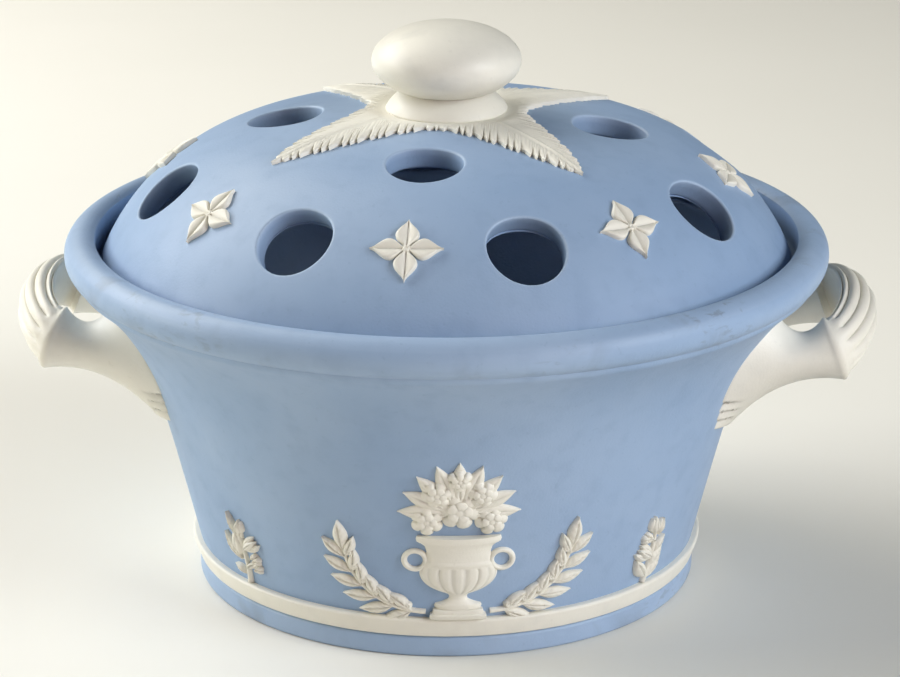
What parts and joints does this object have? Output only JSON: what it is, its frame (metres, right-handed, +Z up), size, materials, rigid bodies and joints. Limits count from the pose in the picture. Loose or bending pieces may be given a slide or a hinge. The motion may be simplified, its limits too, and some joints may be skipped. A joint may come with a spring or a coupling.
{
  "type": "potpourri vase",
  "caption": "Low footed stoneware bowl with a flared wall, reeded loop handles, white applied ornaments and a pierced domed lid with a knob, for keeping scented dried petals.",
  "frame": {"origin": "centre of the foot ring's underside", "axes": "+Z up, +X towards the right handle, front relief towards -Y"},
  "size_m": [0.1644, 0.1456, 0.1077],
  "materials": {
    "blue_stoneware": "unglazed, matt with a faint sheen",
    "white_stoneware": "unglazed, matt with a faint sheen"
  },
  "bodies": {
    "bowl": {"bowl": "blue_stoneware", "base_band": "white_stoneware", "handle_left": "white_stoneware", "handle_right": "white_stoneware", "front_urn": "white_stoneware", "back_urn": "white_stoneware", "front_bouquet": "white_stoneware", "back_bouquet": "white_stoneware", "front_branch_left": "white_stoneware", "front_branch_right": "white_stoneware", "back_branch_left": "white_stoneware", "back_branch_right": "white_stoneware", "sprig_front_left": "white_stoneware", "sprig_front_right": "white_stoneware", "sprig_back_left": "white_stoneware", "sprig_back_right": "white_stoneware"},
    "lid": {"lid": "blue_stoneware", "knob": "white_stoneware", "leaf_1": "white_stoneware", "leaf_2": "white_stoneware", "leaf_3": "white_stoneware", "leaf_4": "white_stoneware", "flower_1": "white_stoneware", "flower_2": "white_stoneware", "flower_3": "white_stoneware", "flower_4": "white_stoneware", "flower_5": "white_stoneware", "flower_6": "white_stoneware", "flower_7": "white_stoneware", "flower_8": "white_stoneware"}
  },
  "joints": [
    {"name": "lid_lift", "type": "slide", "parent": "bowl", "child": "lid", "axis": [0, 0, 1], "range_m": [0, 0.06]}
  ]
}
